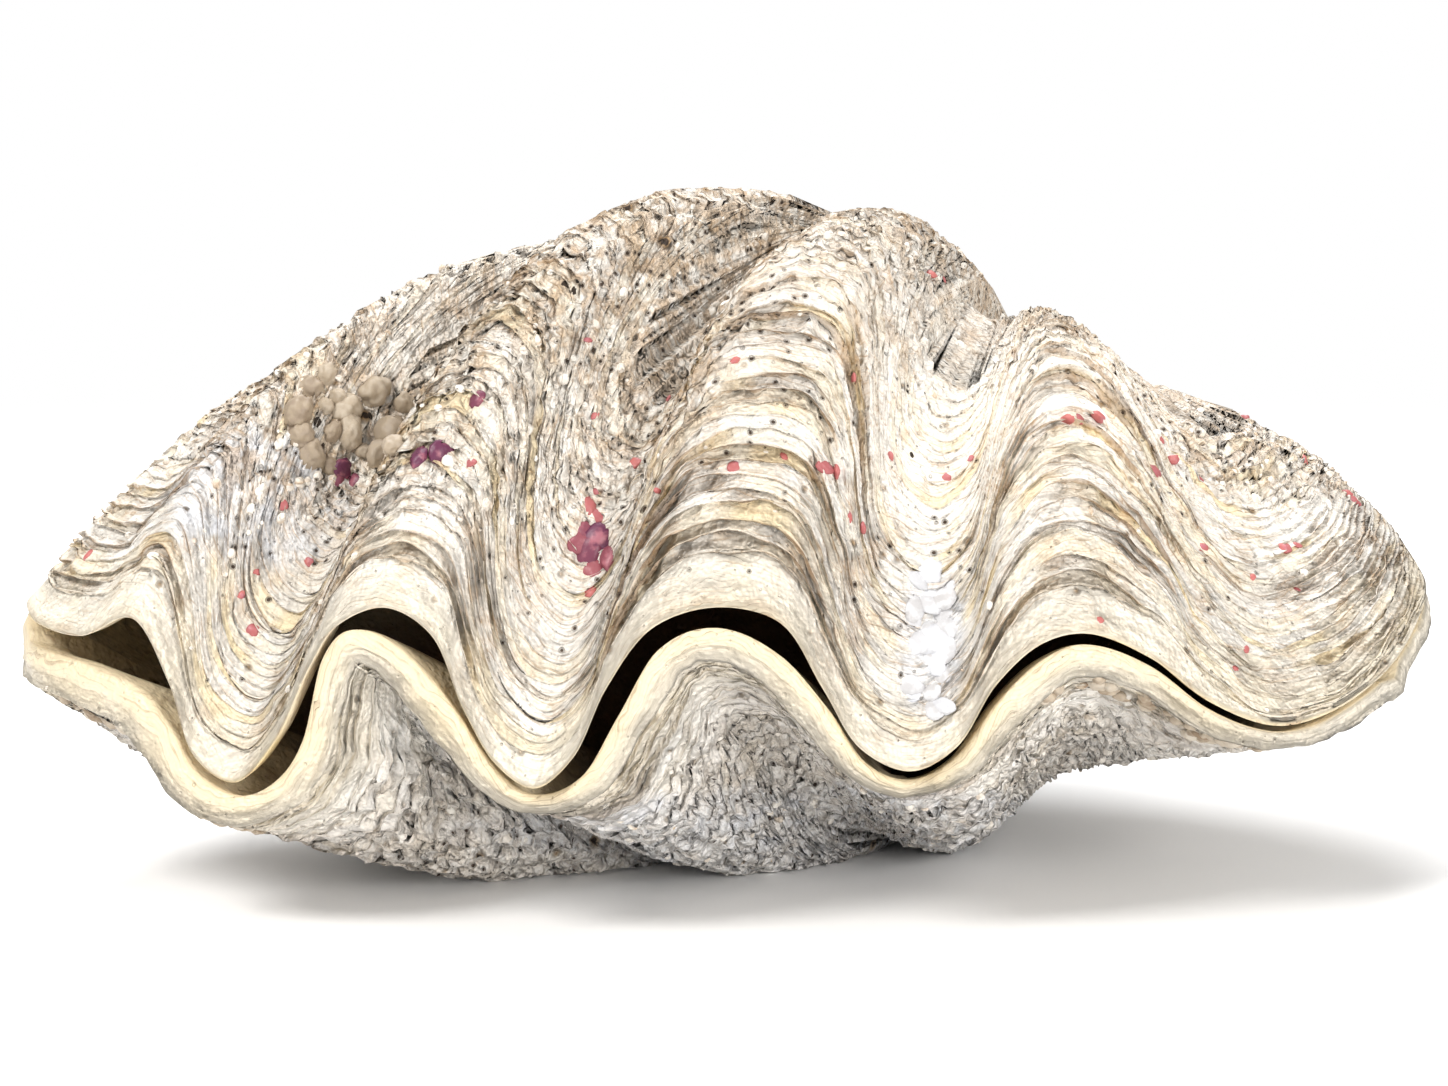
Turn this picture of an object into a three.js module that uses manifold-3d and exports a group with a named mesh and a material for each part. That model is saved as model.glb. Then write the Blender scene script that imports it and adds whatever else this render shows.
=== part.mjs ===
// Giant clam shell, both valves closed: five deep folds, stepped growth ledges, hollow inside.
// Millimetres, +Z up, the long way along X, the gaping margin towards -Y.
import * as THREE from "three";
import { mergeVertices } from "three/addons/utils/BufferGeometryUtils.js";
import Module from "manifold-3d";

const wasm = await Module();
wasm.setup();

// Where the part's own frame sits: the middle of its footprint, on the floor.
const SHIFT = [-2.5, -2.545, 0];

// Plan of the front margin: half of a squarish ellipse.
const PLAN = { middleX: -2, halfLength: 155, backY: 5, depth: 98, squareness: 2.4 };

// The waving front edges, as [x, height] from the left end to the right end.
const UPPER_EDGE = [
  [-143, 57.5], [-132, 57], [-120, 62], [-112.5, 50], [-107, 35], [-98.5, 30.5], [-90, 39.5],
  [-82.5, 55], [-77, 63.3], [-67, 67.5], [-58, 62.5], [-51.5, 47.5], [-45, 36.5], [-37.5, 32],
  [-30, 38], [-23, 52.5], [-14, 64.3], [-1.5, 68.4], [11, 65.3], [19.5, 52], [27, 40],
  [37, 35.4], [46, 40], [54, 52.5], [63, 60.3], [72, 62], [85, 56.5], [98, 46.5],
  [112, 40.5], [124, 41.5], [137, 47],
];
const LOWER_EDGE = [
  [-143, 52], [-132, 51], [-120, 47.5], [-112.5, 40], [-107, 31.5], [-98.5, 27.5], [-90, 31],
  [-84, 40], [-80, 56], [-74, 62.5], [-64, 59], [-54, 48], [-45, 34.5], [-37.5, 29.5],
  [-28, 34], [-21, 46], [-13, 59.5], [-1.5, 64], [11, 58.5], [21, 47], [28, 36.5],
  [37, 32.5], [46, 37], [54, 48], [63, 56.5], [72, 59.5], [85, 54.5], [98, 44.5],
  [112, 38.5], [124, 39.5], [137, 45],
];
// The rest of the edge, round the right end, the hinge and the left end.
const REAR_EDGE = [
  [149, -22, 55], [153, 0, 60], [147, 25, 65], [129, 52, 71], [100, 76, 76], [72, 90, 78],
  [40, 93, 78], [0, 86, 77], [-45, 70, 74], [-88, 48, 69], [-122, 22, 64], [-143, -4, 60],
  [-148, -24, 58.5],
];
const LIPS_APART = 1.6; // clear gap between the two lips
const HINGE_TILT = { height: 49, rise: 0.155, fromY: -92 }; // the plane the lips wave about

// How each valve swells: every growth line runs from the umbo to the edge as a cubic curve, whose two
// handles stand at these heights. ways are compass angles from the umbo, 0 towards the front.
const WAYS = [-180, -120, -96, -86, -74, -66, -54, -41, -24, -1, 14, 43, 64, 85, 120, 180];
const UPPER = {
  umbo: [75, 78, 95], nearReach: 0.33, farReach: 0.18, fold: 1,
  near: [100, 107, 115, 126, 139, 146, 153, 156, 143, 118, 112, 100, 96, 96, 97, 100],
  far: [86, 91, 97, 102, 108, 116, 144, 161, 159, 131, 120, 93, 87, 84, 82, 86],
  cavity: { middle: [60, 42, 99], nearWall: 25, farWall: 20, farReach: 0.25, fold: 0.85 },
};
const LOWER = {
  umbo: [75, 76, 60], nearReach: 0.33, farReach: 0.24, fold: 0.3,
  near: [52, 42, 10, -14, -30, -38, -44, -54, -55, -24, -4, 22, 37, 46, 52, 52],
  far: [68, 62, 46, 30, 12, 2, 11, 23, 27, 36, 38, 44, 50, 58, 64, 68],
  cavity: { middle: [60, 42, 33], nearWall: 23, farWall: 15, farReach: 0.28, fold: 0.1 },
};

const FRONT_STEPS = 2; // columns of facets to each length of traced front edge
const REAR_STEPS = 2;
const LEDGES = [0.46, 0.56, 0.66, 0.75, 0.84, 0.92]; // where layers end, 0 umbo to 1 edge
const LEDGE_HEIGHT = 2.6;
const LEDGE_FACE = 0.008;
const EARLY_ROWS = [0.07, 0.16, 0.26, 0.36];
const CAVITY_ROWS = [0.9, 0.75, 0.58, 0.4, 0.2];
const LIP = { depth: 7, round: 1.2, slope: 1.2 };
// How wide the lower lip's pale band is, and how far it sits behind the upper lip, as [x, width, set back].
const LOWER_LIP = [
  [-143, 7, 0], [-120, 9, 0], [-98, 6, 0], [-84, 7, 0], [-67, 6.5, 0], [-50, 6, 1], [-37, 3.5, 4.5],
  [-24, 6, 1], [0, 6, 0], [20, 6, 1], [37, 3.5, 4.5], [54, 6, 1], [72, 6, 0], [98, 4.5, 1.5],
  [112, 3.5, 3], [137, 3.5, 1.5],
];
const REAR_LIP = [3, 0];

// Rounded growths on the second fold's left shoulder: [way from the umbo, place along it, radius].
const KNOBS = [
  [-52.6, 0.772, 4.2], [-52.1, 0.8, 4.6], [-51.3, 0.756, 5], [-51.2, 0.728, 4.6],
  [-50.8, 0.778, 4.8], [-50, 0.735, 4.4], [-50.5, 0.705, 3.8],
];
const KNOB_SINK = 0.25; // share of a growth's radius that lies below the shell's surface

const LIGAMENT = { fromColumn: 10, toColumn: 16, deep: 2.6, high: 4.6, clear: 0.5, sides: 8 };

const COLOURS = { upper: 0xdfd3c0, lower: 0xcfc8bb, ligament: 0x3b2a1c };

// A value read from a list by its key, eased between neighbours.
function eased(keys, values, key) {
  let i = 0;
  while (i < keys.length - 2 && key > keys[i + 1]) i++;
  const slope = (k) => {
    const a = Math.max(k - 1, 0);
    const b = Math.min(k + 1, keys.length - 1);
    return (values[b] - values[a]) / (keys[b] - keys[a]);
  };
  const span = keys[i + 1] - keys[i];
  const t = THREE.MathUtils.clamp((key - keys[i]) / span, 0, 1);
  const a = values[i] * (1 + 2 * t) * (1 - t) ** 2;
  const b = values[i + 1] * t * t * (3 - 2 * t);
  return a + b + span * t * (1 - t) * (slope(i) * (1 - t) - slope(i + 1) * t);
}

// Height of the plane that the folds wave about.
function hingePlane(y) {
  return HINGE_TILT.height + HINGE_TILT.rise * (y - HINGE_TILT.fromY);
}

// How far forward the front margin reaches at x.
function marginY(x) {
  const t = Math.min(1, Math.abs((x - PLAN.middleX) / PLAN.halfLength));
  return PLAN.backY - PLAN.depth * (1 - t ** PLAN.squareness) ** (1 / PLAN.squareness);
}

// The upper valve's whole edge, one point to each column of facets.
function edgeColumns() {
  const front = UPPER_EDGE.map(([x, z]) => new THREE.Vector3(x, marginY(x), z));
  const rear = REAR_EDGE.map((p) => new THREE.Vector3(...p));
  const all = [...front, ...rear];
  const curve = new THREE.CatmullRomCurve3(all, true, "centripetal");
  const columns = [];
  for (let i = 0; i < all.length; i++) {
    const steps = i < front.length - 1 ? FRONT_STEPS : REAR_STEPS;
    for (let k = 0; k < steps; k++) columns.push(curve.getPoint((i + k / steps) / all.length));
  }
  return columns;
}

// The lower valve's edge under the same columns.
function edgeBelow(columns) {
  const xs = LOWER_EDGE.map(([x]) => x);
  const zs = LOWER_EDGE.map(([, z]) => z);
  return columns.map((p) => {
    const front = p.y < -25 && p.x > xs[0] - 4 && p.x < xs[xs.length - 1] + 4;
    const z = front ? eased(xs, zs, p.x) : p.z - LIPS_APART;
    return new THREE.Vector3(p.x, p.y + lowerLip(p)[1], Math.min(z, p.z - LIPS_APART));
  });
}

// The lower lip's width and set-back at an edge point.
function lowerLip(p) {
  if (p.y > -25) return REAR_LIP;
  const xs = LOWER_LIP.map(([x]) => x);
  return [1, 2].map((k) => eased(xs, LOWER_LIP.map((row) => row[k]), p.x));
}

// The foot of the lower lip's band, square to the edge as it waves.
function lipFoot(edge, inward) {
  const n = edge.length;
  return edge.map((p, i) => {
    const along = edge[(i + 1) % n].clone().sub(edge[(i + n - 1) % n]).normalize();
    const down = inward[i].clone().cross(along).normalize();
    return p.clone().addScaledVector(down, lowerLip(p)[0]).addScaledVector(inward[i], -0.6);
  });
}

// Directions pointing into the shell, level, square to the edge.
function inwardOf(columns) {
  const n = columns.length;
  return columns.map((p, i) => {
    const before = columns[(i + n - 1) % n];
    const after = columns[(i + 1) % n];
    return new THREE.Vector3(before.y - after.y, after.x - before.x, 0).normalize();
  });
}

function cubic(a, b, c, d, t) {
  const s = 1 - t;
  const point = new THREE.Vector3();
  point.addScaledVector(a, s ** 3).addScaledVector(b, 3 * s * s * t);
  return point.addScaledVector(c, 3 * s * t * t).addScaledVector(d, t ** 3);
}

// The way from the umbo to an edge point, in degrees, 0 towards the front.
function wayTo(umbo, p) {
  return THREE.MathUtils.radToDeg(Math.atan2(p.x - umbo.x, umbo.y - p.y));
}

// One growth line of a valve: a function of 0 at the umbo to 1 at the edge.
function outerLine(valve, edge) {
  const umbo = new THREE.Vector3(...valve.umbo);
  const way = wayTo(umbo, edge);
  const wave = edge.z - hingePlane(edge.y);
  const near = umbo.clone().lerp(edge, valve.nearReach).setZ(eased(WAYS, valve.near, way));
  const farHeight = eased(WAYS, valve.far, way) + valve.fold * wave;
  const far = edge.clone().lerp(umbo, valve.farReach).setZ(farHeight);
  return (t) => cubic(umbo, near, far, edge, t);
}

// The matching line of the hollow side, up is +1 for the upper valve and -1 for the lower.
function cavityLine(valve, edge, innerEdge, up) {
  const hollow = valve.cavity;
  const middle = new THREE.Vector3(...hollow.middle);
  const way = wayTo(new THREE.Vector3(...valve.umbo), edge);
  const wave = edge.z - hingePlane(edge.y);
  const ownSide = (z) => up * Math.max(up * z, up * innerEdge.z + 2);
  const nearHeight = ownSide(eased(WAYS, valve.near, way) - up * hollow.nearWall);
  const farHeight = ownSide(eased(WAYS, valve.far, way) + hollow.fold * wave - up * hollow.farWall);
  const near = middle.clone().lerp(innerEdge, 0.33).setZ(nearHeight);
  const far = innerEdge.clone().lerp(middle, hollow.farReach).setZ(farHeight);
  return (t) => cubic(middle, near, far, innerEdge, t);
}

// How strongly layers stand out: most on the folds' crests at the front, least in grooves and at the hinge.
function ledgeStrength(edge, up) {
  const crest = THREE.MathUtils.smoothstep(up * (edge.z - hingePlane(edge.y)), -14, 14);
  const front = THREE.MathUtils.smoothstep(-edge.y, -30, 30);
  return (0.3 + 0.7 * crest) * (0.25 + 0.75 * front);
}

// The rows of one valve's outside: [place along the growth line, share of the ledge height].
function outerRows() {
  const rows = EARLY_ROWS.map((t) => [t, 0]);
  for (const t of LEDGES) rows.push([t, 1], [t + LEDGE_FACE, 0]);
  return rows;
}

function outwardOf(lines, i, t) {
  const n = lines.length;
  const here = lines[i](t);
  const along = lines[i](Math.min(t + 0.02, 1)).sub(lines[i](t - 0.02));
  const across = lines[(i + 1) % n](t).sub(lines[(i + n - 1) % n](t));
  return { here, normal: across.cross(along).normalize() };
}

// Every row of points of one valve, from the umbo over the outside, round the lip and into the hollow.
function valveRows(valve, edge, inward, up) {
  const outerEdge = up > 0
    ? edge.map((p) => p.clone().setZ(p.z + LIP.round))
    : lipFoot(edge, inward);
  const lines = outerEdge.map((p) => outerLine(valve, p));
  const rows = outerRows().map(([t, share]) =>
    lines.map((line, i) => {
      const { here, normal } = outwardOf(lines, i, t);
      const height = share * LEDGE_HEIGHT * ledgeStrength(edge[i], up);
      return here.addScaledVector(normal, up * height);
    }));
  rows.push(outerEdge);
  rows.push(edge.map((p, i) => p.clone().addScaledVector(inward[i], 1.5)));
  const innerEdge = edge.map((p, i) =>
    p.clone().addScaledVector(inward[i], LIP.depth).setZ(p.z + up * LIP.slope));
  rows.push(innerEdge);
  const hollow = edge.map((p, i) => cavityLine(valve, p, innerEdge[i], up));
  for (const t of CAVITY_ROWS) rows.push(hollow.map((line) => line(t)));
  return rows;
}

// A closed mesh from rows of points with one point at each end.
function closedMesh(first, rows, last, flip) {
  const n = rows[0].length;
  const points = [first, ...rows.flat(), last];
  const faces = [];
  const at = (r, i) => 1 + r * n + (i % n);
  const add = (a, b, c) => faces.push(...(flip ? [a, c, b] : [a, b, c]));
  for (let i = 0; i < n; i++) {
    add(0, at(0, i), at(0, i + 1));
    add(points.length - 1, at(rows.length - 1, i + 1), at(rows.length - 1, i));
    for (let r = 0; r < rows.length - 1; r++) {
      add(at(r, i), at(r + 1, i), at(r + 1, i + 1));
      add(at(r, i), at(r + 1, i + 1), at(r, i + 1));
    }
  }
  const geometry = new THREE.BufferGeometry().setFromPoints(points);
  geometry.setIndex(faces);
  return geometry;
}

function toSolid(geometry) {
  const plain = geometry.clone();
  plain.deleteAttribute("normal");
  plain.deleteAttribute("uv");
  const merged = mergeVertices(plain, 1e-4);
  return new wasm.Manifold(new wasm.Mesh({
    numProp: 3,
    vertProperties: merged.attributes.position.array,
    triVerts: new Uint32Array(merged.index.array),
  }));
}

function toGeometry(solid) {
  const mesh = solid.getMesh();
  const geometry = new THREE.BufferGeometry();
  geometry.setAttribute("position", new THREE.BufferAttribute(mesh.vertProperties, 3));
  geometry.setIndex(new THREE.BufferAttribute(mesh.triVerts, 1));
  return geometry;
}

// The point and the outward direction on a valve's outside, at a way from the umbo and a place along it.
function onOutside(valve, edge, way, place) {
  const umbo = new THREE.Vector3(...valve.umbo);
  const ways = edge.map((p) => wayTo(umbo, p));
  const i = ways.findIndex((w, k) => w <= way && way < ways[(k + 1) % ways.length]);
  const share = (way - ways[i]) / (ways[i + 1] - ways[i]);
  const lines = edge.map((p) => outerLine(valve, p));
  const { here, normal } = outwardOf(lines, i, place);
  return { point: here.lerp(lines[i + 1](place), share), normal };
}

function upperValve(edge, inward) {
  const rows = valveRows(UPPER, edge, inward, 1);
  const shell = closedMesh(
    new THREE.Vector3(...UPPER.umbo), rows, new THREE.Vector3(...UPPER.cavity.middle), false);
  let solid = toSolid(shell);
  for (const [way, place, radius] of KNOBS) {
    const { point, normal } = onOutside(UPPER, edge, way, place);
    const centre = point.addScaledVector(normal, radius * (1 - 2 * KNOB_SINK));
    const knob = new THREE.IcosahedronGeometry(radius, 1).translate(...centre.toArray());
    solid = solid.add(toSolid(knob));
  }
  return toGeometry(solid);
}

function lowerValve(edge, inward) {
  const rows = valveRows(LOWER, edge, inward, -1);
  for (const row of rows) for (const p of row) p.z = Math.max(p.z, 0);
  return closedMesh(
    new THREE.Vector3(...LOWER.umbo), rows, new THREE.Vector3(...LOWER.cavity.middle), true);
}

// The dried strip that held the valves together, in the seam behind the umbones.
function hingeLigament(columns, inward, firstRear) {
  const rings = [];
  const count = LIGAMENT.toColumn - LIGAMENT.fromColumn;
  for (let i = 0; i <= count; i++) {
    const c = firstRear + LIGAMENT.fromColumn + i;
    const size = i === 0 || i === count ? 0.45 : 1;
    const out = inward[c].clone().negate();
    const middle = columns[c].clone().addScaledVector(out, LIGAMENT.deep + LIGAMENT.clear);
    middle.z -= LIPS_APART / 2;
    const ring = [];
    for (let k = 0; k < LIGAMENT.sides; k++) {
      const a = (2 * Math.PI * k) / LIGAMENT.sides;
      const point = middle.clone().addScaledVector(out, size * LIGAMENT.deep * Math.cos(a));
      point.z += size * LIGAMENT.high * Math.sin(a);
      ring.push(point);
    }
    rings.push(ring);
  }
  const middleOf = (ring) =>
    ring.reduce((sum, p) => sum.add(p), new THREE.Vector3()).divideScalar(ring.length);
  return closedMesh(middleOf(rings[0]), rings, middleOf(rings[rings.length - 1]), false);
}

function named(name, geometry, color, roughness) {
  geometry.translate(...SHIFT);
  geometry.computeVertexNormals();
  const material = new THREE.MeshStandardMaterial({ color, roughness, metalness: 0 });
  const mesh = new THREE.Mesh(geometry, material);
  mesh.name = name;
  return mesh;
}

const columns = edgeColumns();
const inward = inwardOf(columns);
const firstRear = (UPPER_EDGE.length - 1) * FRONT_STEPS + 1;

const group = new THREE.Group();
group.name = "giant_clam_shell";
group.add(named("upper_valve", upperValve(columns, inward), COLOURS.upper, 0.8));
group.add(named("lower_valve", lowerValve(edgeBelow(columns), inward), COLOURS.lower, 0.85));
group.add(named("hinge_ligament", hingeLigament(columns, inward, firstRear), COLOURS.ligament, 0.6));
export default group;
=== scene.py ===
# %% [markdown]
# # A giant clam shell, closed, seen from its gaping edge
# A giant clam builds its two valves by adding a thin layer at the edge again and again. Each layer is a
# little wider than the last, waves with five deep folds, and leaves its old rim standing as a ledge. This
# lesson grows both valves in the same way: lines run from the umbo (the beak) to the waving edge, and
# ledges, lumps and pits are laid along them.
#
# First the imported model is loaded, which fixes where everything goes, and its box is kept for later.

# %% Load the frame
import math

import bmesh
import bpy
import numpy as np
from mathutils import Matrix, Vector
from mathutils.bvhtree import BVHTree
from mathutils.kdtree import KDTree


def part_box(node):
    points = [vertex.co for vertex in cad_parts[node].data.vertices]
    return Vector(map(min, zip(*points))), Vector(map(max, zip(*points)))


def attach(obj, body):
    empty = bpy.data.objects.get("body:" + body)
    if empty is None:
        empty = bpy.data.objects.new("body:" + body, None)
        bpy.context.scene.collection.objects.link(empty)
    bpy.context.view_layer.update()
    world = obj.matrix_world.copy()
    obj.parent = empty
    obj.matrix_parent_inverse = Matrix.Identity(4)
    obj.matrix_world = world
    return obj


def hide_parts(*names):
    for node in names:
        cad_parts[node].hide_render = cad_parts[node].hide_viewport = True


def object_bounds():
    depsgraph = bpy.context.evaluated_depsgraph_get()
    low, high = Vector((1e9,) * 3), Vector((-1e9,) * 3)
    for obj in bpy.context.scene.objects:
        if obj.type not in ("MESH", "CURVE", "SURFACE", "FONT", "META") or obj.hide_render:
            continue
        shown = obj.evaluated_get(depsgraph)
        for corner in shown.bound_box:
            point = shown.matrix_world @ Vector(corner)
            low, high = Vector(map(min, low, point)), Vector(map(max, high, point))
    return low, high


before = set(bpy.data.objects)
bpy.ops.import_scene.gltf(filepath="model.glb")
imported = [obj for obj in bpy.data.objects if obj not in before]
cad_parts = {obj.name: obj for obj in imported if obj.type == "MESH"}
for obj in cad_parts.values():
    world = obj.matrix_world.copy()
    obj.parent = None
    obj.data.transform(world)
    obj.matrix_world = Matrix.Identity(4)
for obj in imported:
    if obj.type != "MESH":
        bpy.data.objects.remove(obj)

cad_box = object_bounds()
print("nodes", sorted(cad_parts), "box", cad_box)

# %% [markdown]
# ## The camera, the floor and the light
# The photograph looks along the shell from a little above with a long lens, on a plain white ground. The
# camera comes first, because the small growths are later set down where the picture shows them.

# %% Camera
MM = 0.001
TINY = 1e-12  # keeps a division by a length of nothing from failing
PHOTO_SIZE = (1448, 1086)
LENS, SENSOR = 100.0, 36.0
CAMERA_AIM = Vector((-2.5, -2.545, 68.0)) * MM
CAMERA_AWAY, CAMERA_RISE = 880 * MM, math.radians(8)

back = Vector((0, -math.cos(CAMERA_RISE), math.sin(CAMERA_RISE)))
camera = bpy.data.objects.new("camera", bpy.data.cameras.new("camera"))
camera.data.lens, camera.data.sensor_width = LENS, SENSOR
camera.location = CAMERA_AIM + CAMERA_AWAY * back
camera.rotation_euler = (math.radians(90) - CAMERA_RISE, 0, 0)
bpy.context.collection.objects.link(camera)
bpy.context.scene.camera = camera
print("camera at", tuple(round(v, 3) for v in camera.location))


def seen_at(points):
    """Where points of the shell (metres, one row each) fall in the photograph, and how far off they are."""
    right, up = np.array([1.0, 0, 0]), np.array([0, math.sin(CAMERA_RISE), math.cos(CAMERA_RISE)])
    away = np.asarray(points) - np.array(camera.location)
    depth = -(away @ np.array(back))
    pixels_per_unit = LENS / SENSOR * PHOTO_SIZE[0]
    px = PHOTO_SIZE[0] / 2 + pixels_per_unit * (away @ right) / depth
    py = PHOTO_SIZE[1] / 2 - pixels_per_unit * (away @ up) / depth
    return np.stack([px, py], -1), depth


# %% Light and world
def show(name, data):
    obj = bpy.data.objects.new(name, data)
    bpy.context.collection.objects.link(obj)
    return obj


def soft_light(name, place, aim, size, power, colour=(1, 1, 1)):
    lamp = bpy.data.lights.new(name, "AREA")
    lamp.shape, lamp.size, lamp.energy, lamp.color = "DISK", size, power, colour
    obj = show(name, lamp)
    obj.location = place
    obj.rotation_euler = (Vector(aim) - Vector(place)).to_track_quat("-Z", "Y").to_euler()


AIM = (0, 0, 0.06)
soft_light("key_light", (-0.75, -0.75, 1.05), AIM, 0.5, 15.5, (1.0, 0.98, 0.95))
soft_light("fill_light", (0.75, -1.1, 0.42), AIM, 0.6, 12.5, (1.0, 0.985, 0.965))
soft_light("back_light", (0.0, 0.55, 1.25), AIM, 0.9, 17.0)
world = bpy.data.worlds.new("studio")
world.use_nodes = True
world.node_tree.nodes["Background"].inputs["Color"].default_value = (1.0, 1.0, 1.0, 1)
paths = world.node_tree.nodes.new("ShaderNodeLightPath")
glow = world.node_tree.nodes.new("ShaderNodeMapRange")
glow.inputs["To Min"].default_value, glow.inputs["To Max"].default_value = 0.54, 1.0
world.node_tree.links.new(paths.outputs["Is Camera Ray"], glow.inputs["Value"])
world.node_tree.links.new(glow.outputs["Result"], world.node_tree.nodes["Background"].inputs["Strength"])
bpy.context.scene.world = world
bpy.context.scene.view_settings.view_transform = "Standard"

# %% [markdown]
# ## The measured edge
# Everything follows from the waving edge where the valves meet. Its heights were measured along the shell,
# in millimetres, and are the same as in the solid model: folds of three to four centimetres high at the
# front, and a nearly straight run along the hinge at the back.

# %% Edge measures
SHIFT = np.array([-2.5, -2.545, 0.0])
PLAN_MIDDLE, PLAN_HALF, PLAN_BACK, PLAN_DEPTH, PLAN_SQUARENESS = -2, 155, 5, 98, 2.4
UPPER_EDGE = [
    (-143, 57.5), (-132, 57), (-120, 62), (-112.5, 50), (-107, 35), (-98.5, 30.5), (-90, 39.5),
    (-82.5, 55), (-77, 63.3), (-67, 67.5), (-58, 62.5), (-51.5, 47.5), (-45, 36.5), (-37.5, 32),
    (-30, 38), (-23, 52.5), (-14, 64.3), (-1.5, 68.4), (11, 65.3), (19.5, 52), (27, 40),
    (37, 35.4), (46, 40), (54, 52.5), (63, 60.3), (72, 62), (85, 56.5), (98, 46.5),
    (112, 40.5), (124, 41.5), (137, 47)]
LOWER_EDGE = [
    (-143, 52), (-132, 51), (-120, 47.5), (-112.5, 40), (-107, 31.5), (-98.5, 27.5), (-90, 31),
    (-84, 40), (-80, 56), (-74, 62.5), (-64, 59), (-54, 48), (-45, 34.5), (-37.5, 29.5),
    (-28, 34), (-21, 46), (-13, 59.5), (-1.5, 64), (11, 58.5), (21, 47), (28, 36.5),
    (37, 32.5), (46, 37), (54, 48), (63, 56.5), (72, 59.5), (85, 54.5), (98, 44.5),
    (112, 38.5), (124, 39.5), (137, 45)]
REAR_EDGE = [
    (149, -22, 55), (153, 0, 60), (147, 25, 65), (129, 52, 71), (100, 76, 76), (72, 90, 78),
    (40, 93, 78), (0, 86, 77), (-45, 70, 74), (-88, 48, 69), (-122, 22, 64), (-143, -4, 60),
    (-148, -24, 58.5)]
LOWER_LIP = [  # x, width of the pale band, how far it sits behind the upper lip
    (-143, 7, 0), (-120, 9, 0), (-98, 6, 0), (-84, 7, 0), (-67, 6.5, 0), (-50, 6, 1), (-37, 3.5, 4.5),
    (-24, 6, 1), (0, 6, 0), (20, 6, 1), (37, 3.5, 4.5), (54, 6, 1), (72, 6, 0), (98, 4.5, 1.5),
    (112, 3.5, 3), (137, 3.5, 1.5)]
REAR_LIP = (3, 0)
LIPS_APART, LIP_DEPTH, LIP_ROUND, LIP_SLOPE = 1.6, 7, 1.2, 1.2


def eased(keys, values, at):
    """Values read from a list by key, eased between neighbours."""
    keys, values, at = (np.asarray(a, float) for a in (keys, values, at))
    last = len(keys) - 1
    i = np.clip(np.searchsorted(keys, at, side="left") - 1, 0, last - 1)
    before, after = np.maximum(np.arange(last + 1) - 1, 0), np.minimum(np.arange(last + 1) + 1, last)
    slope = (values[after] - values[before]) / (keys[after] - keys[before])
    span = keys[i + 1] - keys[i]
    t = np.clip((at - keys[i]) / span, 0, 1)
    ends = values[i] * (1 + 2 * t) * (1 - t) ** 2 + values[i + 1] * t * t * (3 - 2 * t)
    return ends + span * t * (1 - t) * (slope[i] * (1 - t) - slope[i + 1] * t)


def margin_y(x):
    t = np.minimum(1, np.abs((x - PLAN_MIDDLE) / PLAN_HALF))
    return PLAN_BACK - PLAN_DEPTH * (1 - t ** PLAN_SQUARENESS) ** (1 / PLAN_SQUARENESS)


# %% The edge as a closed curve
def through(a, b, c, d, steps):
    """Points of a centripetal Catmull-Rom curve from b to c."""
    knots = np.cumsum([0] + [np.linalg.norm(q - p) ** 0.5 for p, q in ((a, b), (b, c), (c, d))])
    t = knots[1] + (knots[2] - knots[1]) * np.arange(steps)[:, None] / steps

    def mix(p, q, i, j):
        return p * (knots[j] - t) / (knots[j] - knots[i]) + q * (t - knots[i]) / (knots[j] - knots[i])
    ab, bc, cd = mix(a, b, 0, 1), mix(b, c, 1, 2), mix(c, d, 2, 3)
    return mix(mix(ab, bc, 0, 2), mix(bc, cd, 1, 3), 1, 2)


def edge_columns(front_steps, rear_steps):
    front = [np.array([x, margin_y(x), z]) for x, z in UPPER_EDGE]
    points = front + [np.array(p, float) for p in REAR_EDGE]
    n = len(points)
    spans = [through(points[i - 1], points[i], points[(i + 1) % n], points[(i + 2) % n],
                     front_steps if i < len(front) - 1 else rear_steps) for i in range(n)]
    return np.concatenate(spans)


FRONT_STEPS, REAR_STEPS = 13, 11
upper_edge = edge_columns(FRONT_STEPS, REAR_STEPS)
COLUMNS = len(upper_edge)
at_front = upper_edge[:, 1] < -25
lip_width, lip_back = (
    np.where(at_front, eased(*np.array(LOWER_LIP, float)[:, [0, k]].T, upper_edge[:, 0]), REAR_LIP[k - 1])
    for k in (1, 2))
lower_edge = upper_edge.copy()
lower_edge[:, 2] = np.minimum(
    np.where(at_front & (abs(upper_edge[:, 0] + 3) < 144),
             eased(*np.array(LOWER_EDGE).T, upper_edge[:, 0]), 1e3),
    upper_edge[:, 2] - LIPS_APART)
lower_edge[:, 1] += lip_back
around = np.roll(upper_edge, 1, 0) - np.roll(upper_edge, -1, 0)
inward = np.stack([around[:, 1], -around[:, 0], np.zeros(COLUMNS)], -1)
inward /= np.linalg.norm(inward, axis=1, keepdims=True)
print("columns", COLUMNS, "edge from", upper_edge.min(0).round(1), "to", upper_edge.max(0).round(1))

# %% [markdown]
# ## Growth lines
# From the umbo to each point of the edge runs one growth line, a cubic curve with two handles. The heights
# of the handles, read by the compass angle from the umbo, make the dome above and the bowl below. The far
# handle also follows the wave of the edge, so the folds grow stronger towards it, as on the real shell.

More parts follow.
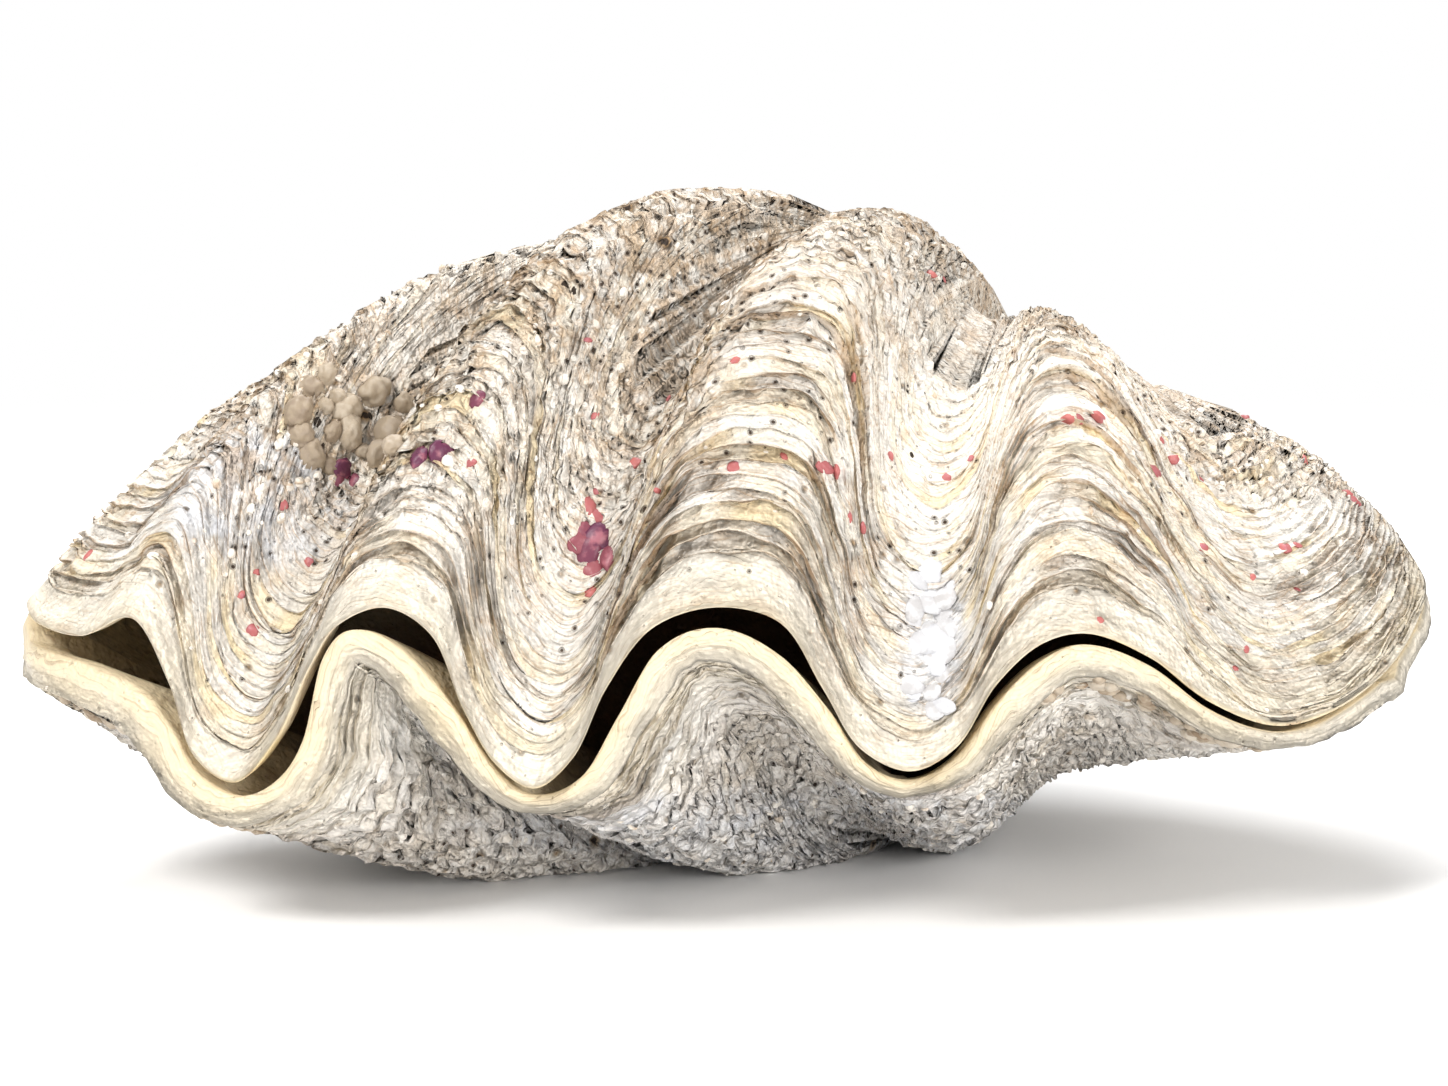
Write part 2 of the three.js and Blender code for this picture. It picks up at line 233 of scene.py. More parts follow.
# %% Growth lines
WAYS = [-180, -120, -96, -86, -74, -66, -54, -41, -24, -1, 14, 43, 64, 85, 120, 180]
UPPER = dict(
    umbo=(75, 78, 95), near_reach=0.33, far_reach=0.18, fold=1.0, up=1,
    near=[100, 107, 115, 126, 139, 146, 153, 156, 143, 118, 112, 100, 96, 96, 97, 100],
    far=[86, 91, 97, 102, 108, 116, 144, 161, 159, 131, 120, 93, 87, 84, 82, 86],
    middle=(60, 42, 99), near_wall=25, far_wall=20, hollow_reach=0.25, hollow_fold=0.85)
LOWER = dict(
    umbo=(75, 76, 60), near_reach=0.33, far_reach=0.24, fold=0.3, up=-1,
    near=[52, 42, 10, -14, -30, -38, -44, -54, -55, -24, -4, 22, 37, 46, 52, 52],
    far=[68, 62, 46, 30, 12, 2, 11, 23, 27, 36, 38, 44, 50, 58, 64, 68],
    middle=(60, 42, 33), near_wall=23, far_wall=15, hollow_reach=0.28, hollow_fold=0.1)


def hinge_plane(y):
    return 49 + 0.155 * (y + 92)


def ways_to(umbo, edge):
    return np.degrees(np.arctan2(edge[:, 0] - umbo[0], umbo[1] - edge[:, 1]))


def growth_lines(valve, edge):
    """The four points of each column's curve: umbo, near handle, far handle, edge."""
    umbo = np.array(valve["umbo"], float)
    way, wave = ways_to(umbo, edge), edge[:, 2] - hinge_plane(edge[:, 1])
    near = umbo + (edge - umbo) * valve["near_reach"]
    near[:, 2] = eased(WAYS, valve["near"], way)
    far = edge + (umbo - edge) * valve["far_reach"]
    far[:, 2] = eased(WAYS, valve["far"], way) + valve["fold"] * wave
    return np.broadcast_to(umbo, edge.shape), near, far, edge


def hollow_lines(valve, edge, inner_edge):
    up, middle = valve["up"], np.array(valve["middle"], float)
    way, wave = ways_to(valve["umbo"], edge), edge[:, 2] - hinge_plane(edge[:, 1])

    def own_side(z):
        return up * np.maximum(up * z, up * inner_edge[:, 2] + 2)
    near = middle + (inner_edge - middle) * 0.33
    near[:, 2] = own_side(eased(WAYS, valve["near"], way) - up * valve["near_wall"])
    far = inner_edge + (middle - inner_edge) * valve["hollow_reach"]
    far[:, 2] = own_side(
        eased(WAYS, valve["far"], way) + valve["hollow_fold"] * wave - up * valve["far_wall"])
    return np.broadcast_to(middle, edge.shape), near, far, inner_edge


def along(lines, t):
    """Points of every line at t, 0 at the umbo and 1 at the edge. t is one row of values or one per line."""
    a, b, c, d = (p[None] for p in lines)
    t = np.asarray(t, float)[..., None]
    t = t[:, None] if t.ndim == 2 else t
    return (1 - t) ** 3 * a + 3 * (1 - t) ** 2 * t * b + 3 * (1 - t) * t ** 2 * c + t ** 3 * d


# %% [markdown]
# ## Noise for worn lime
# Nothing on an old shell is even. Two kinds of noise are worked out for many points at once: a smooth one
# for swells and wandering lines, and one made of cells for lumps and pits. Both come from whole-number
# hashing, so every run gives the same shell.

# %% Noise helpers
def scramble(cells, seed):
    """A value from 0 to 1 for each whole-number cell."""
    x, y, z = (cells[..., k].astype(np.int64) for k in range(3))
    n = (x * 73856093) ^ (y * 19349663) ^ (z * 83492791) ^ (seed * 2654435761)
    n = (n ^ (n >> 13)) * 1274126177 & 0xFFFFFFFF
    n = (n ^ (n >> 15)) * 2246822519 & 0xFFFFFFFF
    return ((n ^ (n >> 13)) & 0xFFFFFF) / 0xFFFFFF


def smooth_noise(points, size, seed=0, octaves=2):
    """Smooth noise from -1 to 1, with swells about size across."""
    total, weight = 0.0, 0.0
    for octave in range(octaves):
        p = points / size * 2 ** octave + 31.7 * octave
        cell = np.floor(p)
        f = p - cell
        f = f * f * (3 - 2 * f)
        value = 0
        for corner in np.ndindex(2, 2, 2):
            share = np.prod(np.where(corner, f, 1 - f), axis=-1)
            value = value + share * scramble(cell + corner, seed + octave)
        total = total + (2 * value - 1) * 0.5 ** octave
        weight += 0.5 ** octave
    return total / weight


def cell_noise(points, size, seed=0):
    """Distance to the nearest and the second nearest of scattered centres, in cell sizes."""
    p = points / size
    cell = np.floor(p)
    first = np.full(p.shape[:-1], 9.0)
    second = first.copy()
    for step in np.ndindex(3, 3, 3):
        near = cell + np.array(step) - 1
        centre = near + np.stack([scramble(near, seed + 11 * k + 1) for k in range(3)], -1)
        d = np.linalg.norm(p - centre, axis=-1)
        second = np.minimum(second, np.maximum(first, d))
        first = np.minimum(first, d)
    return first, second


def ramp(value, low, high):
    """Rises smoothly from 0 at low to 1 at high."""
    t = np.clip((value - low) / (high - low), 0, 1)
    return t * t * (3 - 2 * t)


# %% [markdown]
# ## From a flat sheet to a shell
# A valve is one sheet: across it goes round the edge, along it goes from the umbo over the outside, round
# the lip and into the hollow. So it starts as a flat grid with Blender's own operator, and every point of
# the grid is then moved to its place on the shell. The two sides meet and are merged, and the points of
# the first and last row fall together and close the poles.

# %% Grid to shell
def shell_piece(name, rows, marks, flip=False):
    """A closed mesh from rows of points (millimetres) with named values on every point."""
    count = len(rows)
    bm = bmesh.new()
    bmesh.ops.create_grid(bm, x_segments=COLUMNS, y_segments=count - 1, size=0.5)
    mesh = bpy.data.meshes.new(name)
    bm.to_mesh(mesh)
    bm.free()
    flat = np.empty(len(mesh.vertices) * 3)
    mesh.vertices.foreach_get("co", flat)
    flat = flat.reshape(-1, 3)
    column = np.rint((flat[:, 0] + 0.5) * COLUMNS).astype(int) % COLUMNS
    row = np.rint((flat[:, 1] + 0.5) * (count - 1)).astype(int)
    mesh.vertices.foreach_set("co", ((rows[row, column] + SHIFT) * MM).ravel())
    for mark, values in marks.items():
        layer = mesh.attributes.new(mark, "FLOAT", "POINT")
        layer.data.foreach_set("value", values[row, column].astype(np.float32))
    bm = bmesh.new()
    bm.from_mesh(mesh)
    bmesh.ops.remove_doubles(bm, verts=bm.verts, dist=1e-6)
    if flip:
        bmesh.ops.reverse_faces(bm, faces=bm.faces)
    bm.to_mesh(mesh)
    bm.free()
    mesh.shade_smooth()
    obj = show(name, mesh)
    print(name, "faces", len(mesh.polygons), "triangles", sum(len(p.vertices) - 2 for p in mesh.polygons))
    return obj


EASING = (  # columns on each side that are evened out, and the places where this starts and is full
    (5, 0.2, 0.4), (14, 0.32, 0.6))


class Outside:
    """The plain outside of a valve, read by place: 0 at the lip, 1 at the umbo, even along each line."""
    STEPS = 97

    def __init__(self, valve, edge):
        self.t = np.linspace(0, 1, self.STEPS)
        lines = growth_lines(valve, edge)
        points = along(lines, self.t)
        for reach, low, high in EASING:
            soft = sum(np.roll(points, k, 1) * (reach + 1 - abs(k)) for k in range(-reach, reach + 1))
            points += (soft / (reach + 1) ** 2 - points) * ramp(1 - self.t, low, high)[:, None, None]
        run = np.linalg.norm(np.diff(points, axis=0), axis=-1)
        self.length = run.sum(0)
        from_edge = 1 - np.concatenate([np.zeros((1, COLUMNS)), np.cumsum(run, 0)]) / self.length
        ways = np.gradient(points, axis=0)
        across = np.roll(points, -1, 1) - np.roll(points, 1, 1)
        normal = np.cross(across, ways) * valve["up"]
        normal[0] = normal[1]
        normal /= np.linalg.norm(normal, axis=-1, keepdims=True) + TINY
        normal = sum(np.roll(normal, k, 1) * (4 - abs(k)) for k in range(-3, 4))
        normal /= np.linalg.norm(normal, axis=-1, keepdims=True) + TINY
        places = np.linspace(0, 1, 2 * self.STEPS)
        self.points = self.regrid(from_edge, points, places)
        self.normals = self.regrid(from_edge, normal, places)
        self.last = len(places) - 1

    @staticmethod
    def regrid(from_edge, values, places):
        out = np.empty((len(places),) + values.shape[1:])
        for c in range(COLUMNS):
            for k in range(3):
                out[:, c, k] = np.interp(places, from_edge[::-1, c], values[::-1, c, k])
        return out

    def at(self, place):
        """Points and outward directions at rows of places, one place per column."""
        p = np.clip(place, 0, 1) * self.last
        i = np.clip(p.astype(int), 0, self.last - 1)
        f = (p - i)[..., None]
        c = np.broadcast_to(np.arange(COLUMNS), p.shape)
        point = self.points[i, c] * (1 - f) + self.points[i + 1, c] * f
        normal = self.normals[i, c] * (1 - f) + self.normals[i + 1, c] * f
        return point, normal / (np.linalg.norm(normal, axis=-1, keepdims=True) + TINY)


# %% [markdown]
# ## Layers that flare like collars
# Each layer flares away from the shell and ends in a thin, chipped free edge, with a crack behind it,
# where the next older layer starts; the paint darkens that crack with painted shade and some dirt. Seen
# close, a stack of saucers: the face dips, swings out to the edge and turns back under it. Four rows of the
# grid follow every layer, so edges stay crisp. Edges wander, break off in places, stand high on the crests
# of the folds and shrink to fine pages in the grooves.

# %% Layer shape
# Low cleanness at the foot of each layer gets tan dirt and near-black painted shade in the paint.
LAYER_ROWS = (  # along the layer (0 foot, 1 free edge), share of the rise, how clean it is
    (1.0, 0.35, 0.2), (1.0, 1.0, 1.0), (0.36, 0.68, 0.85), (0.0, 0.0, 0.0))


def layer_rows(outside, valve, edge, starts, reach, thick, seed, fades, least):
    """Rows of points over the outside, from the umbo to the lip, with marks for the paint."""
    up = valve["up"]
    wave = up * (edge[:, 2] - hinge_plane(edge[:, 1]))
    crest = 0.5 + 0.5 * np.tanh((wave + 1) / 9)
    front = ramp(-edge[:, 1], -40, 35)
    rim = np.cumsum(np.linalg.norm(np.roll(edge, -1, 0) - edge, axis=1))
    rows, marks = [], dict(growth=[], step=[], lip=[], tint=[], deep=[])
    chance = np.random.default_rng(seed)
    might = np.where(chance.random(len(starts) + 1) > 0.6, 1.25, 0.6)
    might = might * chance.uniform(0.75, 1.25, len(starts) + 1)
    shade = chance.uniform(0, 1, len(starts) + 1)

    def line(k, salt):
        return np.stack([rim, np.full(COLUMNS, 17.3 * k + salt), np.full(COLUMNS, salt)], -1)

    def base(k):
        """Where layer k starts, in millimetres from the lip along each line."""
        start = starts[k] * (0.52 + 0.48 * crest) if k else 0 * crest
        start = start - min(k, 1) * 0.55 * min(starts[k], 11) * ramp(edge[:, 0], 60, 115)
        wander = smooth_noise(line(k, 0), 36, seed) * 2.2 + smooth_noise(line(k, 0), 8, seed + 5) * 1.5
        return (start + wander * min(1, k)) * np.minimum(outside.length / 190, 1)

    def stand(k):
        """How far the free edge of layer k stands out."""
        here = ramp(smooth_noise(line(k, 3), 24, seed + 20), -0.45, 0.3)
        chips = 1 - 0.5 * ramp(smooth_noise(line(k, 5), 4.2, seed + 30), 0.1, 0.45)
        tall = reach * (least + (1 - least) * crest ** 1.3) * (0.3 + 0.7 * front) * might[k]
        tall = tall * (1 + 0.9 * ramp(edge[:, 0], 95, 140))
        tall = tall * (0.15 + 0.85 * here) * chips * (1 - 0.7 * ramp(starts[k], *fades))
        return np.maximum(tall, 0.25)

    for k in range(len(starts) - 1, -1, -1):
        low = base(k)
        high = base(k + 1) if k + 1 < len(starts) else 0.93 * outside.length
        high = np.maximum(high, low + 0.8)
        height = stand(k)
        if k == 0:
            height = np.minimum(height, 1.5 * (0.4 + 0.6 * crest) + 0.3)
        high = np.minimum(high, np.maximum(outside.length - 4, low + 0.8))
        height = np.minimum(height, 0.95 * (high - low))
        ragged = smooth_noise(line(k, 7), 3.4, seed + 9, 2) * np.minimum(1.8, 0.85 * height)
        lean = 0.45 * height + ragged
        for along_it, rise, clean in LAYER_ROWS:
            place = low + (high - low) * along_it
            if along_it == 1.0:
                place = high + (lean if rise == 1.0 else np.minimum(lean, 0.35 * height) * 0.8)
            point, normal = outside.at(place / outside.length)
            lift = height * rise
            if rise == 0.35:
                lift = np.maximum(height - thick, 0.3 * height)
            rows.append((point, normal, lift, place))
            bold = ramp(height, 0.15, 1.1)
            marks["growth"].append(place * MM)
            marks["step"].append(0.62 + (clean - 0.62) * bold)
            marks["lip"].append(np.zeros(COLUMNS))
            marks["deep"].append(np.zeros(COLUMNS))
            swing = 0.9 * smooth_noise(line(k, 11), 16, seed + 50, 3)
            marks["tint"].append(np.clip(0.15 + 0.55 * shade[k] + swing, 0, 1))
    return rows, marks


# %% [markdown]
# The older part of the shell has lain on the reef for years. Waves, worms and sponges have rounded its
# ledges into lumps and winding ridges and drilled it full of holes, so lumps and pits are added on top,
# strongest far from the lip.

# %% Wear
def worn_place(points):
    """Where the outside is worn most (the left dome and the far right) and where ribs keep their ledges."""
    pixels, _ = seen_at((points + SHIFT) * MM)
    x, y = pixels[..., 0], pixels[..., 1]
    dome = 1 - ramp(((x - 430) / 300) ** 2 + ((y - 350) / 185) ** 2, 0.55, 1.3)
    far = 1 - ramp(((x - 1275) / 110) ** 2 + ((y - 445) / 62) ** 2, 0.4, 1.3)
    ribs = ramp(x, 690, 760) * (1 - ramp(x, 1240, 1330)) * ramp(y, 190, 260)
    pitted = 1 - ramp(((x - 440) / 95) ** 2 + ((y - 785) / 75) ** 2, 0.4, 1.3)
    return np.maximum(dome, far), ribs, pitted, far


def chalky_place(points):
    """Where chalky algae whiten the shell: the groove right of the middle and the left slope."""
    pixels, _ = seen_at((points + SHIFT) * MM)
    x, y = pixels[..., 0], pixels[..., 1]
    groove = ((x - 930) / 34) ** 2 + ((y - 640) / 84) ** 2
    slope = ((x - 262) / 95) ** 2 + ((y - 500) / 75) ** 2
    under = ((x - 800) / 330) ** 2 + ((y - 830) / 45) ** 2
    nearest = np.minimum(np.minimum(groove, slope), under)
    return 1 - ramp(nearest + 0.6 * smooth_noise(points, 9, 55, 3), 0.6, 1.2)


def wear(points, from_lip, strength, seed, low_valve):
    """How far worn lumps lift the surface (millimetres), how deep each point sits, and how worn it is."""
    dome, ribs, pitted, far = worn_place(points)
    if low_valve:
        worn = ramp(from_lip, 9, 30)
    else:
        worn = np.maximum(ramp(from_lip + 45 * dome - 25 * ribs, 24, 85), far)
    swell = smooth_noise(points, 17, seed, 2) * (1.2 + 1.0 * far)
    bent = points * np.array([1.0, 1.0, 0.66])
    bent = bent + 2.0 * np.stack([smooth_noise(points, 6, seed + k, 1) for k in (3, 4, 5)], -1)
    first, second = cell_noise(bent, 3.7, seed + 40)
    lumps = (ramp(second - first, 0.02, 0.45) - 0.55) * (1 + 0.7 * far)
    knots, _ = cell_noise(points, 7.5, seed + 60)
    knots = ramp(0.42 - knots, 0, 0.3) * ramp(smooth_noise(points, 30, seed + 61), -0.1, 0.4) * (1 + far)
    grain = smooth_noise(points, 1.9, seed + 70, 1)
    lift = worn * (swell + 1.5 * lumps + 1.0 * knots + 0.5 * grain)
    lift += (1 - worn) * (0.35 * grain + 0.85 * smooth_noise(points, 6, seed + 71, 2)) * ramp(from_lip, 2, 12)
    hollow = worn * (1 - ramp(second - first, 0.0, 0.24))
    if low_valve:
        upright = points * np.array([1.0, 1.0, 0.3]) + 0.8 * smooth_noise(points, 5, seed + 80, 1)[..., None]
        first, second = cell_noise(upright, 3.4, seed + 81)
        slots = pitted * (1 - ramp(second - first, 0.03, 0.3)) * ramp(from_lip, 6, 14)
        lift -= 2.0 * slots
        hollow = np.maximum(hollow, slots)
    return strength * lift * ramp(from_lip, 0.5, 9), hollow, worn


def lip_and_hollow(valve, edge, foot, seed):
    """Rows from the end of the outside round the uneven lip and into the hollow."""
    up = valve["up"]
    rough = smooth_noise(edge, 12, seed, 3)[:, None] + 0.5 * smooth_noise(edge, 3, seed + 1)[:, None]
    inner = edge + inward * LIP_DEPTH
    inner[:, 2] += up * LIP_SLOPE
    band = []
    for number, (t, bulge, flake) in enumerate(LIP_FLAKES):
        here = ramp(smooth_noise(edge, 16, seed + 7 + number // 2), -0.4, 0.3)[:, None]
        chip = 0.8 * smooth_noise(edge, 2.6, seed + 20 + number // 2)[:, None] * flake
        place = np.clip(t + 0.06 * smooth_noise(edge, 5, seed + 30 + number // 2), 0.02, 0.98)[:, None]
        band.append(foot + (edge - foot) * place - inward * (bulge + 0.7 * rough + (flake + chip) * here))
    top = [edge + inward * 0.5 + [0, 0, -0.15 * up], edge + inward * 2.2 + [0, 0, 0.1 * up],
           edge + inward * 4.6 + [0, 0, 0.55 * up], inner]
    hollow = along(hollow_lines(valve, edge, inner), np.array(HOLLOW_ROWS))
    middle = np.tile(np.array(valve["middle"], float), (COLUMNS, 1))
    return (band if up < 0 else []) + top + list(hollow) + [middle]


LIP_FLAKES = (  # up the band (0 foot, 1 lip), how far it bulges, how far a flake stands out there
    (0.08, 0.4, 0.7), (0.2, 0.45, 0.0), (0.3, 0.55, 0.65), (0.44, 0.6, 0.0), (0.54, 0.6, 0.5),
    (0.7, 0.6, 0.0), (0.88, 0.35, 0.0))
FLAKE_SMOOTHNESS = (0.35, 0.45, 0.6, 0.7, 0.85, 0.95, 1.0)  # how much of the lip's paint each row has
# How clean each row of the lower lip band is: the rows between the flakes get dirt and painted shade.
FLAKE_CLEANNESS = (1.0, 0.15, 1.0, 0.2, 1.0, 0.35, 0.8)
HOLLOW_ROWS = (0.96, 0.91, 0.86, 0.8, 0.74, 0.68, 0.61, 0.54, 0.46, 0.38, 0.29, 0.2, 0.1)
INSET = 0.02  # how far the shown surface stays inside the solid model's box, in millimetres
LIP_ROW = 0.0011  # how far back the paint's growth mark goes with each row behind the lip, in metres
WALL = 4.5  # the least thickness kept between the hollow and the outside, in millimetres


def keep_under(hollow, outside, up):
    """The hollow's points kept a wall's thickness below the outside that is nearest in plan."""
    tree = KDTree(outside.size // 3)
    for number, (x, y, _) in enumerate(outside.reshape(-1, 3)):
        tree.insert((x, y, 0), number)
    tree.balance()
    height = outside.reshape(-1, 3)[:, 2] * up
    kept = hollow.copy()
    for row in kept.reshape(-1, 3):
        least = min(height[number] for _, number, _ in tree.find_n((row[0], row[1], 0), 8))
        row[2] = up * min(up * row[2], max(least - WALL, up * hinge_plane(row[1]) + 0.3))
    return kept


def keep_open(points, normal, lift):
    """Lifts kept small where a groove is tight, so that its two sides don't cross."""
    across = np.roll(points, -3, 1) - np.roll(points, 3, 1)
    turn = np.roll(normal, -3, 1) - np.roll(normal, 3, 1)
    bend = (across * turn).sum(-1) / ((across ** 2).sum(-1) + 1e-9)
    room = 0.35 / np.maximum(-bend, 0.02)
    width = np.linalg.norm(across, axis=-1)
    close = ramp(width, 0.8, 3.5) * (1 - 0.7 * ramp(width, 15, 26))
    return np.clip(lift, -room, room) * close


def valve_piece(name, valve, edge, foot, starts, reach, thick, strength, seed, fades, least):
    outside = Outside(valve, foot)
    rows, marks = layer_rows(outside, valve, edge, starts, reach, thick, seed, fades, least)
    points, normal, lift, from_lip = (np.array([r[k] for r in rows]) for k in range(4))
    worn_lift, hollow, worn = wear(points, from_lip, strength, seed + 100, valve["up"] < 0)
    total = keep_open(points, normal, lift * (1 - 0.5 * worn) + worn_lift)
    points = points + normal * total[..., None]
    umbo = np.tile(np.array(valve["umbo"], float), (1, COLUMNS, 1))
    inside = np.array(lip_and_hollow(valve, edge, foot, seed))
    deep_rows = slice(1 - len(HOLLOW_ROWS), None)
    inside[deep_rows] = keep_under(inside[deep_rows], points, valve["up"])
    every = np.concatenate([umbo, points, inside])
    blank = np.zeros((len(inside), COLUMNS))
    after_lip = np.arange(len(inside)) - (len(inside) - len(HOLLOW_ROWS) - 1)
    marks["worn"] = worn
    # The step mark is lowered in the crevices between worn lumps, so these get dirt and painted shade too.
    marks["step"] = (0.62 + (np.array(marks["step"]) - 0.62) * (1 - 0.75 * worn)) * (1 - 0.6 * hollow)
    marks["chalk"] = chalky_place(points)
    marks["soft"] = 0.5 + 0.5 * smooth_noise(points, 34, seed + 90, 4)
    full = {}
    for mark, values in marks.items():
        values = np.array(values)
        tail = blank + (1.0 if mark in ("lip", "step") else 0.0)
        # The hollow inside is painted darker row by row past the lip: painted shade.
        if mark == "deep":
            tail = blank + ramp(after_lip, 0.0, 4.5)[:, None]
        if mark == "lip" and valve["up"] < 0:
            fades_right = 1 - 0.9 * ramp(edge[:, 0], 80, 118)
            tail[:len(LIP_FLAKES)] *= np.array(FLAKE_SMOOTHNESS)[:, None] * fades_right
        if mark == "step" and valve["up"] < 0:
            tail[:len(LIP_FLAKES)] = np.array(FLAKE_CLEANNESS)[:, None]
        if mark == "growth":
            tail = blank - LIP_ROW * np.arange(1, len(inside) + 1)[:, None]
        if mark == "soft":
            tail = 0.5 + 0.5 * smooth_noise(inside, 20, seed + 91, 3)
        full[mark] = np.concatenate([values[:1], values, tail])
    low, high = (np.array(c) / MM for c in cad_box)
    every = np.clip(every + SHIFT, low + INSET, high - INSET) - SHIFT
    return shell_piece(name, every, full, flip=valve["up"] < 0), outside


# %% The upper valve
UPPER_LAYERS = [0, 9.5, 12.3, 15.5, 19.5, 22, 25.2, 29, 31.5, 35, 38.5, 41.5, 45.5, 48.5, 52, 56, 59, 63,
                67, 70.5, 74.5, 79, 83, 87.5, 92, 96.5, 101, 106, 111, 117, 123, 129, 136, 143, 151, 160]
upper_foot = upper_edge + [0, 0, LIP_ROUND]
upper_shell, _ = valve_piece(
    "upper_shell", UPPER, upper_edge, upper_foot, UPPER_LAYERS, reach=3.9, thick=0.8, strength=1.0,
    seed=7, fades=(50, 140), least=0.22)
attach(upper_shell, "root")
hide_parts("upper_valve")

# %% The lower valve
LOWER_LAYERS = [0, 2.2, 4.6, 7, 10, 13, 16.5, 20, 24, 28.5, 33, 38, 43, 49, 55, 61, 67, 74, 81, 88,
                96, 104, 112, 120, 128, 137, 147, 158]
along_edge = np.roll(lower_edge, -1, 0) - np.roll(lower_edge, 1, 0)
down = np.cross(inward, along_edge)
down /= np.linalg.norm(down, axis=1, keepdims=True)
uneven = 0.8 * smooth_noise(lower_edge, 11, 61) + 0.5 * smooth_noise(lower_edge, 3.5, 62)
lower_foot = lower_edge + down * (lip_width + uneven)[:, None] - 0.6 * inward
lower_shell, lower_outside = valve_piece(
    "lower_shell", LOWER, lower_edge, lower_foot, LOWER_LAYERS, reach=3.6, thick=0.8, strength=1.3,
    seed=31, fades=(8, 34), least=0.6)
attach(lower_shell, "root")
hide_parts("lower_valve")

# %% [markdown]
# ## Paint for old lime
# The colour of a weathered shell follows its shape: warm white where waves rub it, tan dirt with painted
# shade in every step, near-black painted shade in the cracks under the free edges and in the holes, dark
# brown painted shade in the hollow inside, and smooth cream at the lip, where the youngest layer is still
# fresh. The marks that were laid on the points (growth, step, worn, lip, tint, deep, soft, chalk)
# carry this into the material.
# Two effects are used by both valves, so each is a node group of its own: fine growth lines and pin holes.

# %% Node helpers
def feed(tree, slot, value):
    if isinstance(value, bpy.types.NodeSocket):
        tree.links.new(value, slot)
    else:
        slot.default_value = value


def new_material(name):
    material = bpy.data.materials.new(name)
    material.use_nodes = True
    return material, material.node_tree, material.node_tree.nodes["Principled BSDF"]


def add_node(tree, kind, settings=None, **inputs):
    node = tree.nodes.new(kind)
    for key, value in (settings or {}).items():
        setattr(node, key, value)
    for key, value in inputs.items():
        numbered = key[0] == "i" and key[1:].isdigit()
        feed(tree, node.inputs[int(key[1:]) if numbered else key.replace("_", " ")], value)
    return node


def maths(tree, what, a, b=0.0, clamp=False):
    return add_node(tree, "ShaderNodeMath", dict(operation=what, use_clamp=clamp), i0=a, i1=b).outputs[0]


def times(tree, a, b, clamp=False):
    return maths(tree, "MULTIPLY", a, b, clamp)


def between(tree, value, low, high, to_low=0.0, to_high=1.0):
    node = add_node(tree, "ShaderNodeMapRange", dict(clamp=True, interpolation_type="SMOOTHSTEP"),
                    Value=value, From_Min=low, From_Max=high, To_Min=to_low, To_Max=to_high)
    return node.outputs["Result"]


def blended(tree, share, a, b, how="MIX"):
    node = tree.nodes.new("ShaderNodeMix")
    node.data_type, node.blend_type = "RGBA", how
    for slot, value in zip((0, 6, 7), (share, a, b)):
        feed(tree, node.inputs[slot], value)
    return node.outputs[2]


def place_of(tree):
    return tree.nodes.new("ShaderNodeTexCoord").outputs["Object"]


def mark_of(tree, name):
    return add_node(tree, "ShaderNodeAttribute", dict(attribute_name=name)).outputs["Fac"]


def effect(name, inputs, outputs):
    """An empty node group with number inputs and outputs."""
    tree = bpy.data.node_groups.new(name, "ShaderNodeTree")
    for label, value in inputs.items():
        tree.interface.new_socket(label, in_out="INPUT", socket_type="NodeSocketFloat").default_value = value
    for label in outputs:
        tree.interface.new_socket(label, in_out="OUTPUT", socket_type="NodeSocketFloat")
    return tree, tree.nodes.new("NodeGroupInput").outputs, tree.nodes.new("NodeGroupOutput").inputs


def use_effect(tree, group, **inputs):
    node = tree.nodes.new("ShaderNodeGroup")
    node.node_tree = group
    for key, value in inputs.items():
        feed(tree, node.inputs[key.replace("_", " ")], value)
    return node.outputs


# %% Fine growth lines
growth_effect, given, result = effect(
    "fine_growth_lines", {"Growth": 0, "Spacing": 0.001, "Ragged": 0.5}, ["Height", "Thread"])
t = growth_effect
wobble = add_node(t, "ShaderNodeTexNoise", None, Vector=place_of(t), Scale=70, Detail=2).outputs[0]
shifted = maths(t, "ADD", given["Growth"], times(t, wobble, 0.009))
shifted = maths(t, "ADD", shifted, times(t, given["Ragged"], 0.0016))
turns = maths(t, "DIVIDE", shifted, given["Spacing"])
coarse = maths(t, "FRACT", turns)
fine = maths(t, "FRACT", times(t, turns, 3.3))
t.links.new(maths(t, "ADD", coarse, times(t, fine, 0.3)), result["Height"])
# Thread is the thin line just past each drop of the sawtooth, which the paint fills with tan dirt and painted
# shade.
edge_line = maths(t, "ADD", between(t, coarse, 0.2, 0.0), times(t, between(t, fine, 0.35, 0.0), 0.45))
t.links.new(maths(t, "MINIMUM", edge_line, 1.0), result["Thread"])
print("made", growth_effect.name)

# %% Pin holes
hole_effect, given, result = effect("pin_holes", {"Scale": 260, "Chance": 0.5, "Size": 0.1}, ["Hole", "Rim"])
t = hole_effect
cells = add_node(t, "ShaderNodeTexVoronoi", None, Vector=place_of(t), Scale=given["Scale"], Randomness=1)
own = add_node(t, "ShaderNodeSeparateColor", None, Color=cells.outputs["Color"]).outputs[0]
size = times(t, given["Size"], between(t, maths(t, "SUBTRACT", given["Chance"], own), 0.0, 0.3))
depth = maths(t, "SUBTRACT", size, cells.outputs["Distance"])
t.links.new(between(t, depth, -0.01, 0.04), result["Hole"])
t.links.new(between(t, depth, -0.14, 0.03), result["Rim"])
print("made", hole_effect.name)


# %% [markdown]
# The material mixes these from large to small: swells of warm and grey white, tan dirt with painted shade
# in the steps, fine threads of dirt and painted shade in the growth lines, pin holes painted near black as
# their shade, then the cream lip and the hollow painted dark brown as shade. The same masks drive the bump,
# so what looks deep also catches the light as deep.

# %% Shell material
# Painted shade: near black for the inside of pin holes, dark brown for the hollow inside the valve.
PIN_HOLE_SHADE, HOLLOW_SHADE_BROWN = (0.05, 0.03, 0.018, 1), (0.13, 0.07, 0.04, 1)
CHALK = (0.70, 0.705, 0.725, 1)
